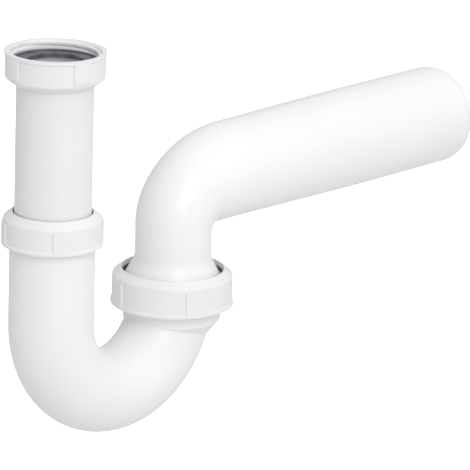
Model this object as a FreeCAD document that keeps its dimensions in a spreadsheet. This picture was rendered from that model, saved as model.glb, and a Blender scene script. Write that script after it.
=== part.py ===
import FreeCAD, Part
import os
import Sketcher

# Appliance tube trap with a union nut inlet, a sliding inlet tube, a U-bend and a swivelling outlet bend.
# Frame: the origin is on the inlet axis at the inner end of the union nut's thread, just above the gasket,
# +Z is up along the inlet axis, and +X runs towards the outlet pipe. Lengths are millimetres.

# Driving sizes
SIZES = {
    # Play between pieces
    "running_gap": 0.3,
    "seal_fit": 0.08,
    # Inlet thread, a G 1 1/2 pipe thread, and the two nuts that share it
    "inlet_thread_dia": 47.8,
    "inlet_thread_depth": 1.48,
    "inlet_nut_wall": 2.75,
    "inlet_nut_height": 17.7,
    "inlet_nut_floor": 3.6,
    "union_hole_gap": 0.4,
    "clamp_hole_gap": 0.95,
    # Nut details
    "lip_width": 0.7,
    "lip_height": 1.5,
    "shoulder_drop": 3.4,
    "shoulder_land": 0.8,
    "shoulder_round": 1.6,
    "mouth_bevel": 0.9,
    "thread_relief": 0.35,
    "grip_count": 4,
    "grip_angle": 22.0,
    "grip_height": 0.75,
    "rib_count": 8,
    "rib_step": 2.75,
    "rib_width": 0.6,
    "rib_height": 0.04,
    # Inlet gasket and inlet tube
    "gasket_thick": 2.0,
    "gasket_bore": 32.0,
    "tube_dia": 41.4,
    "tube_wall": 1.9,
    "tube_length": 131.8,
    "collar_height": 6.4,
    "tube_bevel": 0.7,
    # Slip ring and cone seal
    "slip_thick": 1.4,
    "seal_head": 2.2,
    "seal_depth": 3.2,
    # U-bend
    "leg_spacing": 94.5,
    "leg_gap": 0.4,
    "leg_wall": 1.95,
    "leg_length": 55.4,
    "bend_drop": 145.0,
    "leg_thread_length": 9.4,
    "leg_mouth_flare": 0.9,
    # Outlet cup
    "cup_dia": 53.8,
    "cup_wall": 2.2,
    "cup_rise": 2.8,
    "cup_thread_length": 10.2,
    "cup_depth": 15.9,
    "cup_cone_depth": 11.9,
    "cup_cone_angle": 38.0,
    # Outlet nut, its slip ring and the outlet gasket
    "outlet_thread_dia": 61.6,
    "outlet_thread_depth": 1.3,
    "outlet_nut_wall": 2.45,
    "outlet_nut_height": 19.7,
    "outlet_nut_floor": 3.0,
    "outlet_hole_gap": 0.2,
    "outlet_slip_thick": 1.2,
    "outlet_gasket_thick": 2.5,
    # Outlet bend
    "flange_thick": 2.6,
    "head_gap": 1.6,
    "head_height": 9.8,
    "head_round": 12.0,
    "neck_dia": 42.1,
    "neck_wall": 2.1,
    "inner_corner": 0.5,
    "elbow_width": 66.5,
    "elbow_height": 49.8,
    "pipe_rise": 55.15,
    "pipe_dia": 56.0,
    "pipe_wall": 2.6,
    "pipe_taper": 1.1,
    "pipe_taper_length": 90.0,
    "pipe_reach": 221.0,
    "pipe_bevel": 1.0,
    "pipe_bevel_length": 4.0,
    # Where the grips of each nut point, from +X towards +Y
    "union_nut_turn": 77.0,
    "clamp_nut_turn": 56.0,
    "outlet_nut_turn": 67.5,
}

# Sizes that follow from the driving ones, as expressions
INLET_THREAD_R = "(Sizes.inlet_thread_dia / 2)"
INLET_NUT_R = f"({INLET_THREAD_R} + Sizes.inlet_nut_wall)"
TUBE_R = "(Sizes.tube_dia / 2)"
TUBE_BORE_R = f"({TUBE_R} - Sizes.tube_wall)"
COLLAR_R = f"({INLET_THREAD_R} - Sizes.inlet_thread_depth - Sizes.running_gap)"
GASKET_R = f"({INLET_THREAD_R} - Sizes.running_gap)"
UNION_HOLE_R = f"({TUBE_R} + Sizes.union_hole_gap)"
CLAMP_HOLE_R = f"({TUBE_R} + Sizes.clamp_hole_gap)"
LEG_BORE_R = f"({TUBE_R} + Sizes.leg_gap)"
LEG_R = f"({LEG_BORE_R} + Sizes.leg_wall)"
LEG_THREAD_R = f"({INLET_THREAD_R} - Sizes.running_gap)"
LEG_MOUTH_R = f"({LEG_BORE_R} + Sizes.leg_mouth_flare)"
SEAL_BORE_R = f"({TUBE_R} + Sizes.seal_fit)"
SEAL_HEAD_R = f"({INLET_THREAD_R} - 2 * Sizes.running_gap)"
SLIP_RING_R = f"({INLET_THREAD_R} - Sizes.inlet_thread_depth - Sizes.running_gap)"
OUTLET_THREAD_R = "(Sizes.outlet_thread_dia / 2)"
OUTLET_NUT_R = f"({OUTLET_THREAD_R} + Sizes.outlet_nut_wall)"
PIPE_R = "(Sizes.pipe_dia / 2)"
PIPE_BORE_R = f"({PIPE_R} - Sizes.pipe_wall)"
PIPE_START_R = f"({PIPE_R} - Sizes.pipe_taper)"
PIPE_START_BORE_R = f"({PIPE_START_R} - Sizes.pipe_wall)"
OUTLET_HOLE_R = f"({PIPE_R} + Sizes.outlet_hole_gap)"
FLANGE_R = f"({OUTLET_THREAD_R} - Sizes.outlet_thread_depth - Sizes.running_gap)"
NECK_R = "(Sizes.neck_dia / 2)"
NECK_BORE_R = f"({NECK_R} - Sizes.neck_wall)"
HEAD_R = f"({OUTLET_HOLE_R} - Sizes.head_gap)"
CUP_R = "(Sizes.cup_dia / 2)"
CUP_BORE_R = f"({CUP_R} - Sizes.cup_wall)"
CUP_THREAD_R = f"({OUTLET_THREAD_R} - Sizes.running_gap)"
OUTLET_GASKET_R = f"({OUTLET_THREAD_R} - 2 * Sizes.running_gap)"
CONE_NARROWING = "(Sizes.cup_cone_depth * tan(Sizes.cup_cone_angle))"

# The line about which the outlet bend's elbow turns, just outside its inner corner
ELBOW_X = f"({NECK_R} + Sizes.inner_corner)"
ELBOW_Z = f"(Sizes.pipe_rise - {PIPE_START_R} - Sizes.inner_corner)"

# The elbow's outer line is a quarter of an ellipse from the neck to the pipe's top: its centre, seen from
# the elbow line, and where it meets the pipe
ELLIPSE_X = f"(Sizes.elbow_width - 2 * {NECK_R} - Sizes.inner_corner)"
ELLIPSE_Z = f"(Sizes.inner_corner + 2 * {PIPE_START_R} - Sizes.elbow_height)"
PIPE_START_X = f"({ELBOW_X} + {ELLIPSE_X})"

# Heights in the part's own frame
GASKET_Z = "(-Sizes.running_gap - Sizes.gasket_thick)"
UNION_NUT_Z = f"({GASKET_Z} - Sizes.collar_height - Sizes.inlet_nut_floor)"
BEND_Z = "(-Sizes.bend_drop)"
LEG_RIM_Z = f"({BEND_Z} + Sizes.leg_length)"
SLIP_RING_Z = f"({LEG_RIM_Z} + Sizes.seal_head)"
CLAMP_NUT_Z = f"({SLIP_RING_Z} + Sizes.slip_thick + Sizes.inlet_nut_floor)"
CUP_RIM_Z = f"({BEND_Z} + Sizes.cup_rise)"
FLANGE_Z = f"({CUP_RIM_Z} + Sizes.outlet_gasket_thick)"
OUTLET_SLIP_Z = f"({FLANGE_Z} + Sizes.flange_thick)"
OUTLET_NUT_Z = f"({OUTLET_SLIP_Z} + Sizes.outlet_slip_thick + Sizes.outlet_nut_floor)"

# Where the elbow's sections stand: the angle about the elbow line, and the share of the way on to the pipe
TURN_PLACES = ((0, 0), (15, 0), (30, 0), (45, 0), (60, 0), (75, 0), (90, 0))
RUN_IN_PLACES = ((90, 0), (90, 0.5), (90, 1))

doc = FreeCAD.newDocument("tube_trap")
sheet = doc.addObject("Spreadsheet::Sheet", "Sizes")
for row, (alias, number) in enumerate(SIZES.items(), start=1):
    sheet.set(f"A{row}", alias)
    sheet.set(f"B{row}", str(number))
    sheet.setAlias(f"B{row}", alias)
doc.recompute()


def value(expression):
    """The number that an expression of sheet sizes has now."""
    result = sheet.evalExpression(expression.replace("Sizes.", ""))
    return float(getattr(result, "Value", result))


def new_body(label, x="0", z="0", turn="0", flipped=False):
    """A body placed by the sheet: moved to (x, 0, z), turned about Z, flipped when its mouth points down."""
    body = doc.addObject("PartDesign::Body", label)
    body.Label = label
    about_z = FreeCAD.Rotation(FreeCAD.Vector(0, 0, 1), value(turn))
    upside_down = FreeCAD.Rotation(FreeCAD.Vector(1, 0, 0), 180 if flipped else 0)
    body.Placement = FreeCAD.Placement(FreeCAD.Vector(value(x), 0, value(z)), about_z.multiply(upside_down))
    body.setExpression("Placement.Base.x", x)
    body.setExpression("Placement.Base.z", z)
    return body


def new_sketch(body, name, plane):
    """An empty sketch on one of the body's own origin planes."""
    sketch = body.newObject("Sketcher::SketchObject", name)
    support = next(item for item in body.Origin.OriginFeatures if item.Role == plane)
    sketch.AttachmentSupport = [(support, "")]
    sketch.MapMode = "FlatFace"
    return sketch


def hold_point(sketch, edge, corner, kind, axis, expression):
    """Hold one end of an edge at a distance from the sketch's origin, or on its axis when that is 0."""
    if expression == "0":
        sketch.addConstraint(Sketcher.Constraint("PointOnObject", edge, corner, axis))
        return
    index = sketch.addConstraint(Sketcher.Constraint(kind, -1, 1, edge, corner, value(expression)))
    sketch.setExpression(f"Constraints[{index}]", expression)


def outline(body, name, plane, corners):
    """A closed outline of straight edges, with every corner held by two expressions."""
    sketch = new_sketch(body, name, plane)
    points = [FreeCAD.Vector(value(across), value(up), 0) for across, up in corners]
    count = len(points)
    for edge in range(count):
        sketch.addGeometry(Part.LineSegment(points[edge], points[(edge + 1) % count]), False)
    for edge in range(count):
        sketch.addConstraint(Sketcher.Constraint("Coincident", edge, 2, (edge + 1) % count, 1))
    for edge, (across, up) in enumerate(corners):
        hold_point(sketch, edge, 1, "DistanceX", -2, across)
        hold_point(sketch, edge, 1, "DistanceY", -1, up)
    return sketch


def circle(body, name, plane, radius, across="0", up="0"):
    """A circle whose radius and centre are held by expressions."""
    sketch = new_sketch(body, name, plane)
    centre = FreeCAD.Vector(value(across), value(up), 0)
    sketch.addGeometry(Part.Circle(centre, FreeCAD.Vector(0, 0, 1), value(radius)), False)
    hold_point(sketch, 0, 3, "DistanceX", -2, across)
    hold_point(sketch, 0, 3, "DistanceY", -1, up)
    index = sketch.addConstraint(Sketcher.Constraint("Radius", 0, value(radius)))
    sketch.setExpression(f"Constraints[{index}]", radius)
    return sketch


def turned(body, name, kind, corners, axis_x="0", axis_z=None):
    """Turn an outline in the XZ plane about the upright line at axis_x, or about the level line at axis_z."""
    sketch = outline(body, f"{name}_outline", "XZ_Plane", corners)
    if axis_z is None:
        sketch.setExpression("AttachmentOffset.Base.x", axis_x)
    else:
        sketch.setExpression("AttachmentOffset.Base.y", axis_z)
    feature = body.newObject(kind, name)
    feature.Profile = (sketch, [""])
    feature.ReferenceAxis = (sketch, ["V_Axis" if axis_z is None else "H_Axis"])
    feature.Angle = 360
    doc.recompute()
    return feature


def circle_edges(body, radius, height):
    """The names of the circles on the body's last feature with this radius at this height."""
    names = []
    for number, edge in enumerate(body.Tip.Shape.Edges, start=1):
        curve = edge.Curve
        if not isinstance(curve, Part.Circle):
            continue
        if abs(curve.Radius - value(radius)) < 1e-4 and abs(curve.Center.z - value(height)) < 1e-4:
            names.append(f"Edge{number}")
    if not names:
        raise RuntimeError(f"{body.Label}: no circle of radius {value(radius)} at {value(height)}")
    return names


def dress_edges(body, name, kind, edges, size):
    """Round or bevel edges of the body's last feature by a sheet size."""
    last = body.Tip
    feature = body.newObject(kind, name)
    feature.Base = (last, edges)
    label = "Radius" if kind == "PartDesign::Fillet" else "Size"
    setattr(feature, label, value(size))
    feature.setExpression(label, size)
    doc.recompute()
    return feature


def make_nut(label, nut, x, z, turn, flipped):
    """A union nut: hole at z = 0, threaded mouth and lip at z = height, a relief where its rings sit."""
    body = new_body(label, x=x, z=z, turn=turn, flipped=flipped)
    lip_start = f"({nut['height']} - Sizes.lip_height)"
    lip_foot = f"({lip_start} - Sizes.lip_width)"
    turned(body, f"{label}_wall", "PartDesign::Revolution", [
        (nut["hole"], "0"),
        (f"{nut['hole']} + Sizes.shoulder_land", "0"),
        (nut["outer"], "Sizes.shoulder_drop"),
        (nut["outer"], lip_foot),
        (f"{nut['outer']} + Sizes.lip_width", lip_start),
        (f"{nut['outer']} + Sizes.lip_width", nut["height"]),
        (f"{nut['thread']} + Sizes.mouth_bevel", nut["height"]),
        (nut["thread"], f"{nut['height']} - Sizes.mouth_bevel"),
        (nut["thread"], f"{nut['floor']} + {nut['rings']}"),
        (f"{nut['thread']} + Sizes.thread_relief", f"{nut['floor']} + {nut['rings']} - Sizes.thread_relief"),
        (f"{nut['thread']} + Sizes.thread_relief", nut["floor"]),
        (nut["hole"], nut["floor"]),
    ])
    dress_edges(body, f"{label}_shoulder", "PartDesign::Fillet",
                circle_edges(body, nut["outer"], "Sizes.shoulder_drop"), "Sizes.shoulder_round")

    # One raised grip, then the grips round the nut
    grip_foot = "(Sizes.shoulder_drop + Sizes.shoulder_round)"
    grip_face = f"({nut['outer']} + Sizes.grip_height)"
    grip = turned(body, f"{label}_grip", "PartDesign::Revolution", [
        (f"{nut['outer']} - Sizes.lip_width", grip_foot),
        (grip_face, grip_foot),
        (grip_face, nut["height"]),
        (f"{nut['outer']} - Sizes.lip_width", nut["height"]),
    ])
    grip.Midplane = True
    grip.setExpression("Angle", "Sizes.grip_angle")
    grips = body.newObject("PartDesign::PolarPattern", f"{label}_grips")
    grips.Originals = [grip]
    grips.Axis = (grip.Profile[0], ["V_Axis"])
    grips.Angle = 360
    grips.setExpression("Occurrences", "Sizes.grip_count")
    doc.recompute()

    # One fine rib, then the ribs of a grip, then those of every grip
    rib = outline(body, f"{label}_rib_outline", "XY_Plane", [
        (f"{grip_face} - Sizes.grip_height / 2", "-Sizes.rib_width"),
        (f"{grip_face} + Sizes.rib_height", "-Sizes.rib_width / 2"),
        (f"{grip_face} + Sizes.rib_height", "Sizes.rib_width / 2"),
        (f"{grip_face} - Sizes.grip_height / 2", "Sizes.rib_width"),
    ])
    group_angle = "(Sizes.rib_step * (Sizes.rib_count - 1))"
    half_group = FreeCAD.Rotation(FreeCAD.Vector(0, 0, 1), value(f"-{group_angle} / 2"))
    rib.AttachmentOffset = FreeCAD.Placement(FreeCAD.Vector(), half_group)
    rib.setExpression("AttachmentOffset.Base.z", grip_foot)
    rib.setExpression("AttachmentOffset.Rotation.Angle", f"-{group_angle} / 2")
    pad = body.newObject("PartDesign::Pad", f"{label}_rib")
    pad.Profile = (rib, [""])
    pad.setExpression("Length", f"{nut['height']} - {grip_foot}")
    doc.recompute()
    ribs = body.newObject("PartDesign::MultiTransform", f"{label}_ribs")
    ribs.Originals = [pad]
    on_grip = body.newObject("PartDesign::PolarPattern", f"{label}_ribs_on_grip")
    round_nut = body.newObject("PartDesign::PolarPattern", f"{label}_ribs_round_nut")
    for pattern in (on_grip, round_nut):
        pattern.Axis = (rib, ["N_Axis"])
    on_grip.setExpression("Occurrences", "Sizes.rib_count")
    on_grip.setExpression("Angle", group_angle)
    round_nut.Angle = 360
    round_nut.setExpression("Occurrences", "Sizes.grip_count")
    ribs.Transformations = [on_grip, round_nut]
    body.Tip = ribs
    doc.recompute()
    return body


def make_ring(label, x, z, corners):
    """A turned ring from its section."""
    body = new_body(label, x=x, z=z)
    turned(body, f"{label}_section", "PartDesign::Revolution", corners)
    return body


def make_inlet_tube():
    """A plain tube with a collar at its top, which the union nut pulls against the gasket."""
    body = new_body("inlet_tube", z=GASKET_Z)
    turned(body, "tube_section", "PartDesign::Revolution", [
        (TUBE_BORE_R, "0"),
        (COLLAR_R, "0"),
        (COLLAR_R, "-Sizes.collar_height"),
        (TUBE_R, "-Sizes.collar_height"),
        (TUBE_R, "-Sizes.tube_length + Sizes.tube_bevel"),
        (f"{TUBE_R} - Sizes.tube_bevel", "-Sizes.tube_length"),
        (TUBE_BORE_R, "-Sizes.tube_length"),
    ])
    return body


def half_ring(body, name, kind, radius):
    """Half a ring of round section below the two legs, to add or to remove material."""
    sketch = circle(body, f"{name}_section", "XY_Plane", radius)
    centre = value("Sizes.leg_spacing / 2")
    reach = value(radius)
    start = FreeCAD.Vector(centre, -reach, 0)
    end = FreeCAD.Vector(centre, reach, 0)
    line = sketch.addGeometry(Part.LineSegment(start, end), True)
    hold_point(sketch, line, 1, "DistanceX", -2, "Sizes.leg_spacing / 2")
    hold_point(sketch, line, 2, "DistanceX", -2, "Sizes.leg_spacing / 2")
    hold_point(sketch, line, 1, "DistanceY", -1, f"-{radius}")
    hold_point(sketch, line, 2, "DistanceY", -1, radius)
    feature = body.newObject(kind, name)
    feature.Profile = (sketch, [""])
    feature.ReferenceAxis = (sketch, ["Axis0"])
    feature.Angle = 180
    feature.Reversed = True
    doc.recompute()
    return feature


def make_u_bend():
    """One moulding: inlet leg with its thread, half ring, outlet cup with its cone and thread."""
    body = new_body("u_bend", z=BEND_Z)
    turned(body, "leg_outside", "PartDesign::Revolution", [
        ("0", "0"),
        (LEG_R, "0"),
        (LEG_R, "Sizes.leg_length - Sizes.leg_thread_length"),
        (LEG_THREAD_R, f"Sizes.leg_length - Sizes.leg_thread_length + {LEG_THREAD_R} - {LEG_R}"),
        (LEG_THREAD_R, "Sizes.leg_length - Sizes.running_gap"),
        (f"{LEG_THREAD_R} - Sizes.running_gap", "Sizes.leg_length"),
        ("0", "Sizes.leg_length"),
    ])
    half_ring(body, "ring_outside", "PartDesign::Revolution", LEG_R)
    turned(body, "cup_outside", "PartDesign::Revolution", [
        ("0", "-Sizes.cup_depth - Sizes.cup_cone_depth"),
        (f"{CUP_R} - {CONE_NARROWING}", "-Sizes.cup_depth - Sizes.cup_cone_depth"),
        (CUP_R, "-Sizes.cup_depth"),
        (CUP_R, "Sizes.cup_rise - Sizes.cup_thread_length"),
        (CUP_THREAD_R, f"Sizes.cup_rise - Sizes.cup_thread_length + ({CUP_THREAD_R} - {CUP_R}) / 2"),
        (CUP_THREAD_R, "Sizes.cup_rise - Sizes.running_gap"),
        (f"{CUP_THREAD_R} - Sizes.running_gap", "Sizes.cup_rise"),
        ("0", "Sizes.cup_rise"),
    ], axis_x="Sizes.leg_spacing")
    turned(body, "leg_bore", "PartDesign::Groove", [
        ("0", "0"),
        (LEG_BORE_R, "0"),
        (LEG_BORE_R, "Sizes.leg_length - Sizes.seal_depth - Sizes.running_gap"),
        (LEG_MOUTH_R, "Sizes.leg_length"),
        ("0", "Sizes.leg_length"),
    ])
    half_ring(body, "ring_bore", "PartDesign::Groove", LEG_BORE_R)
    turned(body, "cup_bore", "PartDesign::Groove", [
        ("0", "-Sizes.cup_depth - Sizes.cup_cone_depth + Sizes.cup_wall"),
        (f"{CUP_BORE_R} - {CONE_NARROWING}", "-Sizes.cup_depth - Sizes.cup_cone_depth + Sizes.cup_wall / 2"),
        (CUP_BORE_R, "-Sizes.cup_depth + Sizes.cup_wall / 2"),
        (CUP_BORE_R, "Sizes.cup_rise"),
        ("0", "Sizes.cup_rise"),
    ], axis_x="Sizes.leg_spacing")
    return body


def outer_reach(angle, along):
    """How far the elbow's outer line is from the elbow line at an angle, or above a point along the pipe."""
    if angle == 0:
        return f"(2 * {NECK_R} + Sizes.inner_corner)"
    if along:
        shift = f"(({ELLIPSE_X} * (1 - {along})) / Sizes.elbow_width)"
        return f"({ELLIPSE_Z} + Sizes.elbow_height * sqrt(1 - {shift}^2))"
    across = f"(cos({angle}) / Sizes.elbow_width)"
    up = f"(sin({angle}) / Sizes.elbow_height)"
    square = f"({across}^2 + {up}^2)"
    slope = f"({ELLIPSE_X} / Sizes.elbow_width * {across} - {ELLIPSE_Z} / Sizes.elbow_height * {up})"
    rest = f"(({ELLIPSE_X} / Sizes.elbow_width)^2 + ({ELLIPSE_Z} / Sizes.elbow_height)^2 - 1)"
    return f"((sqrt({slope}^2 - {square} * {rest}) - {slope}) / {square})"


def elbow(body, name, kind, places, neck_wall="0", pipe_wall="0"):
    """Round sections of the elbow joined up: those of its turn, or those where it runs into the pipe."""
    sections = []
    for number, (angle, along) in enumerate(places):
        outer = outer_reach(angle, along)
        reach = f"(({outer} + Sizes.inner_corner) / 2)"
        wall = f"({neck_wall} + ({pipe_wall} - {neck_wall}) * {angle} / 90)"
        radius = f"(({outer} - Sizes.inner_corner) / 2 - {wall})"
        sketch = circle(body, f"{name}_section_{number}", "XY_Plane", radius)
        about_y = FreeCAD.Rotation(FreeCAD.Vector(0, 1, 0), angle)
        sketch.AttachmentOffset = FreeCAD.Placement(FreeCAD.Vector(), about_y)
        sketch.setExpression("AttachmentOffset.Base.x",
                             f"{ELBOW_X} - {reach} * cos({angle}) + {ELLIPSE_X} * {along}")
        sketch.setExpression("AttachmentOffset.Base.z", f"{ELBOW_Z} + {reach} * sin({angle})")
        sections.append(sketch)
    doc.recompute()
    feature = body.newObject(kind, name)
    feature.Profile = (sections[0], [""])
    feature.Sections = [(sketch, [""]) for sketch in sections[1:]]
    doc.recompute()
    return feature


def make_outlet_bend():
    """One moulding: clamped flange, conical head, neck, tight elbow and the larger, drafted outlet pipe."""
    body = new_body("outlet_bend", x="Sizes.leg_spacing", z=FLANGE_Z)
    turned(body, "neck_outside", "PartDesign::Revolution", [
        ("0", "0"),
        (FLANGE_R, "0"),
        (FLANGE_R, "Sizes.flange_thick"),
        (HEAD_R, "Sizes.flange_thick"),
        (NECK_R, "Sizes.flange_thick + Sizes.head_height"),
        (NECK_R, ELBOW_Z),
        ("0", ELBOW_Z),
    ])
    dress_edges(body, "head_blend", "PartDesign::Fillet",
                circle_edges(body, NECK_R, "Sizes.flange_thick + Sizes.head_height"), "Sizes.head_round")
    elbow(body, "turn_outside", "PartDesign::AdditiveLoft", TURN_PLACES)
    elbow(body, "run_in_outside", "PartDesign::AdditiveLoft", RUN_IN_PLACES)
    turned(body, "pipe_outside", "PartDesign::Revolution", [
        (PIPE_START_X, "0"),
        ("Sizes.pipe_reach", "0"),
        ("Sizes.pipe_reach", f"{PIPE_R} - Sizes.pipe_bevel"),
        ("Sizes.pipe_reach - Sizes.pipe_bevel_length", PIPE_R),
        (f"{PIPE_START_X} + Sizes.pipe_taper_length", PIPE_R),
        (PIPE_START_X, PIPE_START_R),
    ], axis_z="Sizes.pipe_rise")

    # The waterway
    turned(body, "neck_bore", "PartDesign::Groove", [
        ("0", "0"),
        (CUP_BORE_R, "0"),
        (NECK_BORE_R, "Sizes.flange_thick + Sizes.head_height - Sizes.neck_wall / 2"),
        (NECK_BORE_R, ELBOW_Z),
        ("0", ELBOW_Z),
    ])
    for name, places in (("turn_bore", TURN_PLACES), ("run_in_bore", RUN_IN_PLACES)):
        elbow(body, name, "PartDesign::SubtractiveLoft", places, "Sizes.neck_wall", "Sizes.pipe_wall")
    turned(body, "pipe_bore", "PartDesign::Groove", [
        (PIPE_START_X, "0"),
        ("Sizes.pipe_reach", "0"),
        ("Sizes.pipe_reach", PIPE_BORE_R),
        (f"{PIPE_START_X} + Sizes.pipe_taper_length", PIPE_BORE_R),
        (PIPE_START_X, PIPE_START_BORE_R),
    ], axis_z="Sizes.pipe_rise")
    return body


# The three nuts
inlet_nut = {
    "outer": INLET_NUT_R,
    "thread": INLET_THREAD_R,
    "height": "Sizes.inlet_nut_height",
    "floor": "Sizes.inlet_nut_floor",
}
union_nut = {
    **inlet_nut,
    "hole": UNION_HOLE_R,
    "rings": "Sizes.collar_height + Sizes.gasket_thick + Sizes.running_gap",
}
clamp_nut = {
    **inlet_nut,
    "hole": CLAMP_HOLE_R,
    "rings": "Sizes.slip_thick + Sizes.seal_head",
}
pipe_nut = {
    "outer": OUTLET_NUT_R,
    "thread": OUTLET_THREAD_R,
    "height": "Sizes.outlet_nut_height",
    "floor": "Sizes.outlet_nut_floor",
    "hole": OUTLET_HOLE_R,
    "rings": "Sizes.outlet_slip_thick + Sizes.flange_thick + Sizes.outlet_gasket_thick",
}

# The pieces, from the inlet to the outlet
pieces = [
    make_nut("top_union_nut", union_nut, "0", UNION_NUT_Z, "Sizes.union_nut_turn", False),
    make_ring("top_gasket", "0", GASKET_Z, [
        ("Sizes.gasket_bore / 2", "0"),
        (GASKET_R, "0"),
        (GASKET_R, "Sizes.gasket_thick"),
        ("Sizes.gasket_bore / 2", "Sizes.gasket_thick"),
    ]),
    make_inlet_tube(),
    make_nut("inlet_clamp_nut", clamp_nut, "0", CLAMP_NUT_Z, "Sizes.clamp_nut_turn", True),
    make_ring("inlet_slip_ring", "0", SLIP_RING_Z, [
        (f"{TUBE_R} + Sizes.running_gap", "0"),
        (SLIP_RING_R, "0"),
        (SLIP_RING_R, "Sizes.slip_thick"),
        (f"{TUBE_R} + Sizes.running_gap", "Sizes.slip_thick"),
    ]),
    make_ring("inlet_cone_seal", "0", LEG_RIM_Z, [
        (SEAL_BORE_R, "-Sizes.seal_depth"),
        (f"{LEG_BORE_R} - Sizes.running_gap / 2", "-Sizes.seal_depth"),
        (f"{LEG_MOUTH_R} - Sizes.running_gap", "0"),
        (SEAL_HEAD_R, "0"),
        (SEAL_HEAD_R, "Sizes.seal_head"),
        (SEAL_BORE_R, "Sizes.seal_head"),
    ]),
    make_u_bend(),
    make_ring("outlet_gasket", "Sizes.leg_spacing", CUP_RIM_Z, [
        (CUP_BORE_R, "0"),
        (OUTLET_GASKET_R, "0"),
        (OUTLET_GASKET_R, "Sizes.outlet_gasket_thick"),
        (CUP_BORE_R, "Sizes.outlet_gasket_thick"),
    ]),
    make_ring("outlet_slip_ring", "Sizes.leg_spacing", OUTLET_SLIP_Z, [
        (f"{HEAD_R} + Sizes.running_gap", "0"),
        (FLANGE_R, "0"),
        (FLANGE_R, "Sizes.outlet_slip_thick"),
        (f"{HEAD_R} + Sizes.running_gap", "Sizes.outlet_slip_thick"),
    ]),
    make_nut("outlet_nut", pipe_nut, "Sizes.leg_spacing", OUTLET_NUT_Z, "Sizes.outlet_nut_turn", True),
    make_outlet_bend(),
]
doc.recompute()

# Everything must have built before anything is written
for item in doc.Objects:
    if "Invalid" in item.State or "Error" in item.State:
        raise RuntimeError(f"{item.Label} did not build: {item.State}")
for piece in pieces:
    if piece.Shape.isNull() or not piece.Shape.isValid():
        raise RuntimeError(f"{piece.Label} has no valid shape")
    if len(piece.Shape.Solids) != 1:
        raise RuntimeError(f"{piece.Label} has {len(piece.Shape.Solids)} solids instead of 1")

os.makedirs("parts", exist_ok=True)
for piece in pieces:
    piece.Shape.exportStep(f"parts/{piece.Label}.step")
    print(f"{piece.Label}: {piece.Shape.Volume / 1000:.2f} cm3")
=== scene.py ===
"""Finishes, nut thread, grip pads and studio for the tube trap. All lengths are in metres."""
import math

import bmesh
import bpy
from bpy.props import FloatProperty, FloatVectorProperty, IntProperty, PointerProperty
from mathutils import Matrix, Quaternion, Vector


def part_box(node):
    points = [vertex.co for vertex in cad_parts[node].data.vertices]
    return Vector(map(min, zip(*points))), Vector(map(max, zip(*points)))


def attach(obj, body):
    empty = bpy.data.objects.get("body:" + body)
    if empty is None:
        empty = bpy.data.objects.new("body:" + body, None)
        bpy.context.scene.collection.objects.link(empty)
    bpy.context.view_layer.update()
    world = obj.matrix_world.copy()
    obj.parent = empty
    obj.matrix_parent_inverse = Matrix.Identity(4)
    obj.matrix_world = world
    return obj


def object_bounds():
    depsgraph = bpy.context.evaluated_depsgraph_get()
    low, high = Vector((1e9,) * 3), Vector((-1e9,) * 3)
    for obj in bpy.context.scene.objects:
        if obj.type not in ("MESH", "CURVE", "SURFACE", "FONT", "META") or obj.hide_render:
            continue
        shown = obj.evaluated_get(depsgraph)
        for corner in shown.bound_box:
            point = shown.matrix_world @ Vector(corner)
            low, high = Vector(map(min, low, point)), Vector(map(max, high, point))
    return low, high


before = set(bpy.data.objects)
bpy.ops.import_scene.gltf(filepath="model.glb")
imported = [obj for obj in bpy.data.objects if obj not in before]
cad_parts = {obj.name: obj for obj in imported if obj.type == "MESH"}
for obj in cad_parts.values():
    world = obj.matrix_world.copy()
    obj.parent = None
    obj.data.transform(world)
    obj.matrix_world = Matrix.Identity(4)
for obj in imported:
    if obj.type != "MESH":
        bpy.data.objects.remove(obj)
CAD_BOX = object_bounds()

bl_info = {
    "name": "Appliance tube trap",
    "version": (1, 0, 0),
    "blender": (4, 5, 0),
    "location": "View3D > Sidebar > Tube trap",
    "description": "Finishes, nut thread, grip pads and studio for a plastic tube trap",
    "category": "Object",
}

PHOTO_PIXELS = 470
SENSOR_MM = 36.0

# Faces that meet at more than this are shaded apart
SHARP_ANGLE = math.radians(10)
# Edges of a pad that turn by more than this are rounded
CORNER_ANGLE = math.radians(60)
# How far the thread's ridge is sunk into the bore, and a pad into the wall as a share of its height
THREAD_SUNK = 0.0001
PAD_SUNK = 0.5

FLOOR_HALF_WIDTH = 6
LAMP_SIZE = 0.9


# Sizes and colours that a user would change

class TrapPlastic(bpy.types.PropertyGroup):
    """The white moulded plastic of the tubes and nuts."""

    nut_colour: FloatVectorProperty(
        name="Nut colour", description="Colour of the three nuts", subtype="COLOR",
        default=(0.83, 0.835, 0.84), min=0, max=1)
    tube_colour: FloatVectorProperty(
        name="Tube colour", description="Colour of the inlet tube", subtype="COLOR",
        default=(0.82, 0.82, 0.825), min=0, max=1)
    bend_colour: FloatVectorProperty(
        name="U-bend colour", description="Colour of the U-bend", subtype="COLOR",
        default=(0.86, 0.865, 0.865), min=0, max=1)
    outlet_colour: FloatVectorProperty(
        name="Outlet colour", description="Colour of the outlet bend", subtype="COLOR",
        default=(0.885, 0.89, 0.89), min=0, max=1)
    # Near-black slip rings: partly a dark ring part, partly painted shade that darkens the gaps between the
    # nuts and the bends
    slip_and_gap_shade_colour: FloatVectorProperty(
        name="Slip ring colour", description="Colour of the two hard slip rings", subtype="COLOR",
        default=(0.010, 0.010, 0.011), min=0, max=1)
    roughness: FloatProperty(
        name="Roughness", description="Roughness of the moulded surface", default=0.34, min=0, max=1,
        subtype="FACTOR")
    edge_round: FloatProperty(
        name="Edge rounding", description="Radius at which moulded edges catch the light",
        default=0.00012, min=0, max=0.002, unit="LENGTH")
    ripple_height: FloatProperty(
        name="Ripple height", description="Depth of the slow waves that cooling leaves in the walls",
        default=0.00006, min=0, max=0.001, unit="LENGTH")
    grain_height: FloatProperty(
        name="Grain height", description="Depth of the fine grain of the mould's face",
        default=0.000006, min=0, max=0.0005, unit="LENGTH")


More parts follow.
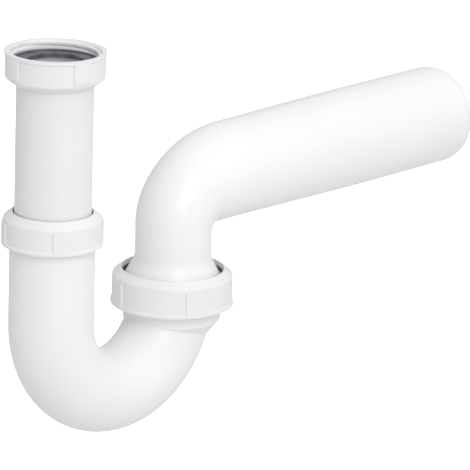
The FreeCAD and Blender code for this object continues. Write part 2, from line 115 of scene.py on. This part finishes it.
class TrapRubber(bpy.types.PropertyGroup):
    """The dark rubber of the gaskets and of the cone seal."""

    gasket_colour: FloatVectorProperty(
        name="Gasket colour", description="Colour of the flat gaskets", subtype="COLOR",
        default=(0.085, 0.090, 0.100), min=0, max=1)
    seal_colour: FloatVectorProperty(
        name="Seal colour", description="Colour of the cone seal", subtype="COLOR",
        default=(0.024, 0.024, 0.026), min=0, max=1)
    roughness: FloatProperty(
        name="Roughness", description="Roughness of the rubber", default=0.46, min=0, max=1,
        subtype="FACTOR")


class TrapThread(bpy.types.PropertyGroup):
    """The pipe thread inside the top nut's mouth."""

    root_radius: FloatProperty(
        name="Root radius", description="Radius of the nut's bore, on which the ridge stands",
        default=0.0239, min=0.001, unit="LENGTH")
    crest_radius: FloatProperty(
        name="Crest radius", description="Radius of the ridge's crest", default=0.0226, min=0.001,
        unit="LENGTH")
    pitch: FloatProperty(
        name="Pitch", description="Rise of the ridge in one turn", default=0.002309, min=0.0005,
        unit="LENGTH")
    foot_width: FloatProperty(
        name="Foot width", description="Width of the ridge on the bore", default=0.0021, min=0.0001,
        unit="LENGTH")
    crest_width: FloatProperty(
        name="Crest width", description="Width of the ridge's crest before rounding", default=0.0014,
        min=0.0001, unit="LENGTH")
    crest_round: FloatProperty(
        name="Crest rounding", description="Radius of the crest's edges", default=0.00022, min=0,
        unit="LENGTH")
    start: FloatProperty(
        name="Start", description="Height of the middle of the ridge where it starts",
        default=0.0006, unit="LENGTH")
    start_angle: FloatProperty(
        name="Start angle", description="Where round the bore the ridge starts, from +X towards +Y",
        default=math.radians(-45), subtype="ANGLE")
    turns: FloatProperty(
        name="Turns", description="Turns of the ridge above the gasket", default=1.4, min=0.1)
    lead: FloatProperty(
        name="Lead", description="Share of a turn over which each end runs out into the bore",
        default=0.15, min=0.01, max=0.5)
    steps: IntProperty(
        name="Steps in a turn", description="Straight steps in one turn of the ridge", default=120,
        min=12)


class TrapGrips(bpy.types.PropertyGroup):
    """The raised pads under the fine ribs of the nuts."""

    height: FloatProperty(
        name="Height", description="How far a pad stands out from the nut's wall", default=0.00075,
        min=0.0001, unit="LENGTH")
    rib_height: FloatProperty(
        name="Rib height", description="How far the fine ribs stand out from a pad", default=0.00004,
        min=0, unit="LENGTH")
    angle: FloatProperty(
        name="Angle", description="Share of the nut's round that a pad covers",
        default=math.radians(22), min=0.05, subtype="ANGLE")
    shoulder: FloatProperty(
        name="Shoulder", description="From the nut's hole end to the foot of a pad", default=0.0050,
        min=0, unit="LENGTH")
    edge_round: FloatProperty(
        name="Rounding", description="Radius of a pad's edges", default=0.0004, min=0, unit="LENGTH")
    set_back: FloatProperty(
        name="Set-back", description="From the nut's mouth to the end of a pad", default=0.00005, min=0,
        unit="LENGTH")
    steps: IntProperty(
        name="Steps", description="Straight steps across a pad", default=14, min=2)


class TrapStudio(bpy.types.PropertyGroup):
    """The camera, the floor and the light."""

    target: FloatVectorProperty(
        name="Target", description="Point on the camera's axis", subtype="TRANSLATION",
        default=(0.06889, -0.06859, -0.09446))
    distance: FloatProperty(
        name="Distance", description="From the camera to the target", default=2.3992, unit="LENGTH")
    azimuth: FloatProperty(
        name="Azimuth", description="Direction from which the camera looks, 0 along +Y",
        default=math.radians(-47.924), subtype="ANGLE")
    elevation: FloatProperty(
        name="Elevation", description="Angle of the camera above the level",
        default=math.radians(16.5), subtype="ANGLE")
    roll: FloatProperty(
        name="Roll", description="Turn of the camera about its own axis",
        default=math.radians(1.696), subtype="ANGLE")
    lens_pixels: FloatProperty(
        name="Lens", description="Focal length in pixels of the picture", default=4498.9)
    floor_drop: FloatProperty(
        name="Floor drop", description="How far the floor lies below the trap", default=0.24,
        unit="LENGTH")
    floor_colour: FloatVectorProperty(
        name="Floor colour", description="Colour of the pale floor", subtype="COLOR",
        default=(0.76, 0.76, 0.76), min=0, max=1)
    floor_glow: FloatProperty(
        name="Floor white", description="White that only the camera sees on the floor", default=0.9,
        min=0)
    sky_direction: FloatVectorProperty(
        name="Bright side", description="Direction of the brightest part of the surroundings",
        subtype="DIRECTION", default=(0.12, -0.51, 0.85))
    sky_bright: FloatVectorProperty(
        name="Bright surroundings", description="Colour of the bright side", subtype="COLOR",
        default=(1.07, 1.07, 1.06), min=0, max=4)
    sky_dark: FloatVectorProperty(
        name="Dim surroundings", description="Colour of the dim side", subtype="COLOR",
        default=(0.20, 0.21, 0.24), min=0, max=4)
    key_power: FloatProperty(
        name="Key power", description="Power of the large soft lamp above", default=7.2, min=0,
        unit="POWER")
    fill_power: FloatProperty(
        name="Fill power", description="Power of the large soft lamp beside the camera", default=3.5,
        min=0, unit="POWER")


# Shader building blocks

def new_finish(name):
    """An empty material with a Principled shader: the material, its node tree and the shader."""
    finish = bpy.data.materials.new(name)
    finish.use_nodes = True
    tree = finish.node_tree
    tree.nodes.clear()
    shader = tree.nodes.new("ShaderNodeBsdfPrincipled")
    output = tree.nodes.new("ShaderNodeOutputMaterial")
    tree.links.new(shader.outputs["BSDF"], output.inputs["Surface"])
    return finish, tree, shader


def noise(tree, scale, detail, roughness=0.5, distortion=0.0):
    """Noise on object coordinates, with its scale in features for each metre."""
    place = tree.nodes.new("ShaderNodeTexCoord")
    node = tree.nodes.new("ShaderNodeTexNoise")
    tree.links.new(place.outputs["Object"], node.inputs["Vector"])
    for socket, number in (("Scale", scale), ("Detail", detail), ("Roughness", roughness),
                           ("Distortion", distortion)):
        node.inputs[socket].default_value = number
    return node.outputs["Fac"]


def spread(tree, source, low, high, start=0.3, end=0.7):
    """The source from start to end, mapped smoothly to the range low to high."""
    node = tree.nodes.new("ShaderNodeMapRange")
    node.interpolation_type = "SMOOTHSTEP"
    tree.links.new(source, node.inputs["Value"])
    for socket, number in (("From Min", start), ("From Max", end), ("To Min", low), ("To Max", high)):
        node.inputs[socket].default_value = number
    return node.outputs["Result"]


def mixed(tree, factor, colour_a, colour_b):
    """Two colours, or a socket and a colour, mixed by a factor socket."""
    node = tree.nodes.new("ShaderNodeMix")
    node.data_type = "RGBA"
    tree.links.new(factor, node.inputs["Factor"])
    for socket, colour in (("A", colour_a), ("B", colour_b)):
        target = next(s for s in node.inputs if s.name == socket and s.type == "RGBA")
        if isinstance(colour, bpy.types.NodeSocket):
            tree.links.new(colour, target)
        else:
            target.default_value = (*colour, 1)
    return next(s for s in node.outputs if s.type == "RGBA")


def bumped(tree, height, distance, normal=None):
    """A bump of this height, on top of another normal when one is given."""
    node = tree.nodes.new("ShaderNodeBump")
    node.inputs["Distance"].default_value = distance
    node.inputs["Strength"].default_value = 1.0
    tree.links.new(height, node.inputs["Height"])
    if normal:
        tree.links.new(normal, node.inputs["Normal"])
    return node.outputs["Normal"]


def rounded(tree, radius):
    """Normals that round sharp edges by this radius."""
    node = tree.nodes.new("ShaderNodeBevel")
    node.samples = 6
    node.inputs["Radius"].default_value = radius
    return node.outputs["Normal"]


def tinted(colour, factor):
    """The colour made lighter or darker by a factor for each channel."""
    return tuple(min(1.0, channel * share) for channel, share in zip(colour, factor))


def plastic(name, colour, settings, rough=0.0, round_edges=True):
    """White moulded plastic: clouds and fine specks in its colour, ripples and grain in its surface."""
    finish, tree, shader = new_finish(name)
    clouds = noise(tree, 22, 3)
    specks = noise(tree, 900, 2)
    shade = mixed(tree, spread(tree, clouds, 0, 1), colour, tinted(colour, (0.975, 0.98, 0.985)))
    shade = mixed(tree, spread(tree, specks, 0, 1, 0.55, 0.8), shade, tinted(colour, (0.985, 0.985, 0.983)))
    tree.links.new(shade, shader.inputs["Base Color"])
    level = settings.roughness + rough
    patches = noise(tree, 45, 2)
    tree.links.new(spread(tree, patches, level - 0.03, level + 0.05, 0.2, 0.8), shader.inputs["Roughness"])
    shader.inputs["IOR"].default_value = 1.49
    edges = rounded(tree, settings.edge_round) if round_edges else None
    normal = bumped(tree, noise(tree, 75, 2), settings.ripple_height, edges)
    normal = bumped(tree, noise(tree, 1500, 2, 0.6), settings.grain_height, normal)
    tree.links.new(normal, shader.inputs["Normal"])
    return finish


def rubber(name, colour, settings):
    """Dark rubber: a dusty bloom in patches, a ground face and fine pits."""
    finish, tree, shader = new_finish(name)
    bloom = noise(tree, 160, 5, 0.62, 0.6)
    shade = mixed(tree, spread(tree, bloom, 0, 1, 0.42, 0.78), colour, tinted(colour, (2.6, 2.6, 2.6)))
    tree.links.new(shade, shader.inputs["Base Color"])
    level = settings.roughness
    tree.links.new(spread(tree, bloom, level - 0.08, level + 0.14), shader.inputs["Roughness"])
    shader.inputs["IOR"].default_value = 1.52
    normal = rounded(tree, 0.0003)
    normal = bumped(tree, noise(tree, 420, 3), 0.00012, normal)
    normal = bumped(tree, noise(tree, 2200, 2), 0.00002, normal)
    tree.links.new(normal, shader.inputs["Normal"])
    return finish


def worn(node):
    """The finish that a CAD node wears."""
    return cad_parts[node].data.materials[0]


def dress(node, finish):
    """Give one finish to every slot of a CAD node."""
    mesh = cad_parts[node].data
    mesh.materials.clear()
    mesh.materials.append(finish)


def finished_piece(name, bm, finish, body):
    """Turn a bmesh into a smooth piece that rides on a body."""
    bmesh.ops.recalc_face_normals(bm, faces=bm.faces)
    if bm.calc_volume(signed=True) < 0:
        bmesh.ops.reverse_faces(bm, faces=bm.faces)
    mesh = bpy.data.meshes.new(name)
    bm.to_mesh(mesh)
    bm.free()
    mesh.materials.append(finish)
    mesh.shade_smooth()
    mesh.set_sharp_from_angle(angle=SHARP_ANGLE)
    piece = bpy.data.objects.new(name, mesh)
    bpy.context.scene.collection.objects.link(piece)
    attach(piece, body)
    return piece


# Operators

class TRAP_OT_nuts(bpy.types.Operator):
    """Give the three nuts their moulded white finish"""

    bl_idname = "trap.nuts"
    bl_label = "Nuts"

    def execute(self, context):
        settings = context.scene.trap_plastic
        finish = plastic("nut_plastic", settings.nut_colour, settings)
        for node in ("top_union_nut", "inlet_clamp_nut", "outlet_nut"):
            dress(node, finish)
        return {"FINISHED"}


class TRAP_OT_tubes(bpy.types.Operator):
    """Give the inlet tube, the U-bend, the outlet bend and the slip rings their finishes"""

    bl_idname = "trap.tubes"
    bl_label = "Tubes and bends"

    def execute(self, context):
        settings = context.scene.trap_plastic
        dress("inlet_tube", plastic("tube_plastic", settings.tube_colour, settings, 0.0, False))
        dress("u_bend", plastic("bend_plastic", settings.bend_colour, settings, -0.02, False))
        dress("outlet_bend", plastic("outlet_plastic", settings.outlet_colour, settings, -0.03, False))
        # The near-black slip rings are partly painted shade: they darken the gaps round the tubes under the
        # nuts
        slip = plastic("slip_plastic", settings.slip_and_gap_shade_colour, settings, rough=0.1)
        dress("inlet_slip_ring", slip)
        dress("outlet_slip_ring", slip)
        return {"FINISHED"}


class TRAP_OT_seals(bpy.types.Operator):
    """Give the gaskets and the cone seal their dark rubber"""

    bl_idname = "trap.seals"
    bl_label = "Gaskets and seal"

    def execute(self, context):
        settings = context.scene.trap_rubber
        finish = rubber("gasket_rubber", settings.gasket_colour, settings)
        dress("top_gasket", finish)
        dress("outlet_gasket", finish)
        dress("inlet_cone_seal", rubber("seal_rubber", settings.seal_colour, settings))
        return {"FINISHED"}


class TRAP_OT_nut_thread(bpy.types.Operator):
    """Run the pipe thread's ridge round the top nut's bore"""

    bl_idname = "trap.nut_thread"
    bl_label = "Nut thread"

    def execute(self, context):
        sizes = context.scene.trap_thread
        sunk = sizes.root_radius + THREAD_SUNK
        bm = bmesh.new()
        corners = [
            bm.verts.new((radius, 0, sizes.start + side * width / 2))
            for radius, side, width in (
                (sunk, -1, sizes.foot_width),
                (sizes.crest_radius, -1, sizes.crest_width),
                (sizes.crest_radius, 1, sizes.crest_width),
                (sunk, 1, sizes.foot_width),
            )
        ]
        bm.faces.new(corners)
        bmesh.ops.bevel(bm, geom=corners[1:3], offset=sizes.crest_round, affect="VERTICES", segments=3,
                        profile=0.5, material=-1)
        steps = round(sizes.turns * sizes.steps)
        bmesh.ops.spin(bm, geom=bm.verts[:] + bm.edges[:] + bm.faces[:], cent=(0, 0, 0), axis=(0, 0, 1),
                       dvec=(0, 0, sizes.turns * sizes.pitch / steps), angle=sizes.turns * math.tau,
                       steps=steps, use_merge=False, use_normal_flip=False, use_duplicate=False)
        for vert in bm.verts:
            share = math.atan2(vert.co.y, vert.co.x) / math.tau
            rise = (vert.co.z - sizes.start) / sizes.pitch
            turn = share + round(rise - share)
            ends = min(turn, sizes.turns - turn) / sizes.lead
            depth = min(1.0, max(0.0, ends))
            depth = depth * depth * (3 - 2 * depth)
            radius = math.hypot(vert.co.x, vert.co.y)
            wanted = sunk + (radius - sunk) * (0.25 + 0.75 * depth if radius > sizes.root_radius else depth)
            vert.co.x *= wanted / radius
            vert.co.y *= wanted / radius
        bmesh.ops.rotate(bm, verts=bm.verts, cent=(0, 0, 0),
                         matrix=Matrix.Rotation(sizes.start_angle, 3, "Z"))
        finished_piece("top_nut_thread", bm, worn("top_union_nut"), "union_nut")
        return {"FINISHED"}


class TRAP_OT_grips(bpy.types.Operator):
    """Put the raised pads under the ribs of the three nuts"""

    bl_idname = "trap.grips"
    bl_label = "Grip pads"

    def execute(self, context):
        for node, body, turn in (
            ("top_union_nut", "union_nut", 77.0),
            ("inlet_clamp_nut", "clamp_nut", 56.0),
            ("outlet_nut", "pipe_nut", 67.5),
        ):
            for quarter in (1, 2, 3):
                angle = math.radians(turn + 90 * quarter)
                self.pad(node, body, f"{node}_pad_{quarter}", angle, context.scene.trap_grips)
        return {"FINISHED"}

    def pad(self, node, body, name, angle, sizes):
        """One pad: a section through the nut's wall, turned about the nut's axis."""
        low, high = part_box(node)
        centre = (low + high) / 2
        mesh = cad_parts[node].data
        face = max((v.co.xy - centre.xy).length for v in mesh.vertices) - sizes.rib_height
        root = face - (1 + PAD_SUNK) * sizes.height
        mouth_up = node == "top_union_nut"
        low.z += sizes.shoulder if mouth_up else sizes.set_back
        high.z -= sizes.set_back if mouth_up else sizes.shoulder
        bm = bmesh.new()
        corners = [
            bm.verts.new((centre.x + radius, centre.y, z))
            for radius, z in ((root, low.z), (face, low.z), (face, high.z), (root, high.z))
        ]
        bm.faces.new(corners)
        bmesh.ops.rotate(bm, verts=bm.verts, cent=centre,
                         matrix=Matrix.Rotation(angle - sizes.angle / 2, 3, "Z"))
        bmesh.ops.spin(bm, geom=bm.verts[:] + bm.edges[:] + bm.faces[:], cent=centre, axis=(0, 0, 1),
                       dvec=(0, 0, 0), angle=sizes.angle, steps=sizes.steps, use_merge=False,
                       use_normal_flip=False, use_duplicate=False)
        sharp = [edge for edge in bm.edges if edge.calc_face_angle(0) > CORNER_ANGLE]
        bmesh.ops.bevel(bm, geom=sharp, offset=sizes.edge_round, affect="EDGES", segments=3, profile=0.5,
                        material=-1)
        finished_piece(name, bm, worn(node), body)


class TRAP_OT_stage(bpy.types.Operator):
    """Lay the pale floor, set the soft light and place the camera"""

    bl_idname = "trap.stage"
    bl_label = "Floor, light and camera"

    def execute(self, context):
        settings = context.scene.trap_studio
        self.floor(settings)
        self.surroundings(context.scene, settings)
        self.lamps(context.scene, settings)
        self.camera(context.scene, settings)
        context.scene.view_settings.view_transform = "Standard"
        return {"FINISHED"}

    def floor(self, settings):
        """A wide pale floor below the trap, which the camera sees as white."""
        bm = bmesh.new()
        bmesh.ops.create_grid(bm, x_segments=2, y_segments=2, size=FLOOR_HALF_WIDTH)
        bmesh.ops.translate(bm, verts=bm.verts, vec=(0, 0, CAD_BOX[0].z - settings.floor_drop))
        mesh = bpy.data.meshes.new("floor")
        bm.to_mesh(mesh)
        bm.free()
        finish, tree, shader = new_finish("floor_paint")
        shader.inputs["Roughness"].default_value = 0.9
        shader.inputs["Specular IOR Level"].default_value = 0.1
        shade = mixed(tree, noise(tree, 3, 2), settings.floor_colour,
                      tinted(settings.floor_colour, (0.99, 0.99, 0.99)))
        tree.links.new(shade, shader.inputs["Base Color"])
        shader.inputs["Emission Color"].default_value = (1, 1, 1, 1)
        path = tree.nodes.new("ShaderNodeLightPath")
        tree.links.new(spread(tree, path.outputs["Is Camera Ray"], 0, settings.floor_glow, 0, 1),
                       shader.inputs["Emission Strength"])
        mesh.materials.append(finish)
        floor = bpy.data.objects.new("floor", mesh)
        bpy.context.scene.collection.objects.link(floor)

    def surroundings(self, scene, settings):
        """Soft surroundings, brighter on one side, which the camera sees as white."""
        world = bpy.data.worlds.new("surroundings")
        scene.world = world
        world.use_nodes = True
        tree = world.node_tree
        tree.nodes.clear()
        place = tree.nodes.new("ShaderNodeTexCoord")
        towards = tree.nodes.new("ShaderNodeVectorMath")
        towards.operation = "DOT_PRODUCT"
        tree.links.new(place.outputs["Generated"], towards.inputs[0])
        towards.inputs[1].default_value = Vector(settings.sky_direction).normalized()
        share = tree.nodes.new("ShaderNodeMapRange")
        tree.links.new(towards.outputs["Value"], share.inputs["Value"])
        share.inputs["From Min"].default_value = -1
        colour = mixed(tree, share.outputs["Result"], settings.sky_dark, settings.sky_bright)
        path = tree.nodes.new("ShaderNodeLightPath")
        seen = mixed(tree, path.outputs["Is Camera Ray"], colour, (1, 1, 1))
        background = tree.nodes.new("ShaderNodeBackground")
        tree.links.new(seen, background.inputs["Color"])
        output = tree.nodes.new("ShaderNodeOutputWorld")
        tree.links.new(background.outputs["Background"], output.inputs["Surface"])

    def lamps(self, scene, settings):
        """Two large soft lamps: one above and in front, one beside the camera."""
        for name, power, place in (
            ("key", settings.key_power, (-0.78, -1.42, 1.25)),
            ("fill", settings.fill_power, (-1.05, -1.64, 0.66)),
        ):
            data = bpy.data.lights.new(name, "AREA")
            data.shape = "DISK"
            data.size = LAMP_SIZE
            data.energy = power
            lamp = bpy.data.objects.new(name, data)
            scene.collection.objects.link(lamp)
            lamp.location = Vector(settings.target) + Vector(place)
            lamp.rotation_euler = (-Vector(place)).to_track_quat("-Z", "Y").to_euler()

    def camera(self, scene, settings):
        """The camera at the photograph's viewing angle."""
        data = bpy.data.cameras.new("camera")
        data.sensor_width = SENSOR_MM
        data.lens = settings.lens_pixels / PHOTO_PIXELS * SENSOR_MM
        camera = bpy.data.objects.new("camera", data)
        scene.collection.objects.link(camera)
        level = math.cos(settings.elevation)
        back = Vector((math.sin(settings.azimuth) * level, -math.cos(settings.azimuth) * level,
                       math.sin(settings.elevation)))
        camera.location = Vector(settings.target) + back * settings.distance
        aim = (-back).to_track_quat("-Z", "Y")
        camera.rotation_euler = (aim @ Quaternion((0, 0, 1), settings.roll)).to_euler()
        scene.camera = camera


OPERATORS = (
    TRAP_OT_nuts,
    TRAP_OT_tubes,
    TRAP_OT_seals,
    TRAP_OT_nut_thread,
    TRAP_OT_grips,
    TRAP_OT_stage,
)


class TRAP_PT_panel(bpy.types.Panel):
    """Lists the pieces of the trap"""

    bl_idname = "TRAP_PT_panel"
    bl_label = "Tube trap"
    bl_space_type = "VIEW_3D"
    bl_region_type = "UI"
    bl_category = "Tube trap"

    def draw(self, context):
        for operator in OPERATORS:
            self.layout.operator(operator.bl_idname)


SETTINGS = {
    "trap_plastic": TrapPlastic,
    "trap_rubber": TrapRubber,
    "trap_thread": TrapThread,
    "trap_grips": TrapGrips,
    "trap_studio": TrapStudio,
}


def register():
    for kind in (*SETTINGS.values(), *OPERATORS, TRAP_PT_panel):
        bpy.utils.register_class(kind)
    for name, kind in SETTINGS.items():
        setattr(bpy.types.Scene, name, PointerProperty(type=kind))


def unregister():
    for name in SETTINGS:
        delattr(bpy.types.Scene, name)
    for kind in (TRAP_PT_panel, *reversed(OPERATORS), *reversed(SETTINGS.values())):
        bpy.utils.unregister_class(kind)


def main():
    register()
    bpy.ops.trap.nuts()
    bpy.ops.trap.tubes()
    bpy.ops.trap.seals()
    bpy.ops.trap.nut_thread()
    bpy.ops.trap.grips()
    bpy.ops.trap.stage()


if __name__ == "__main__":
    main()
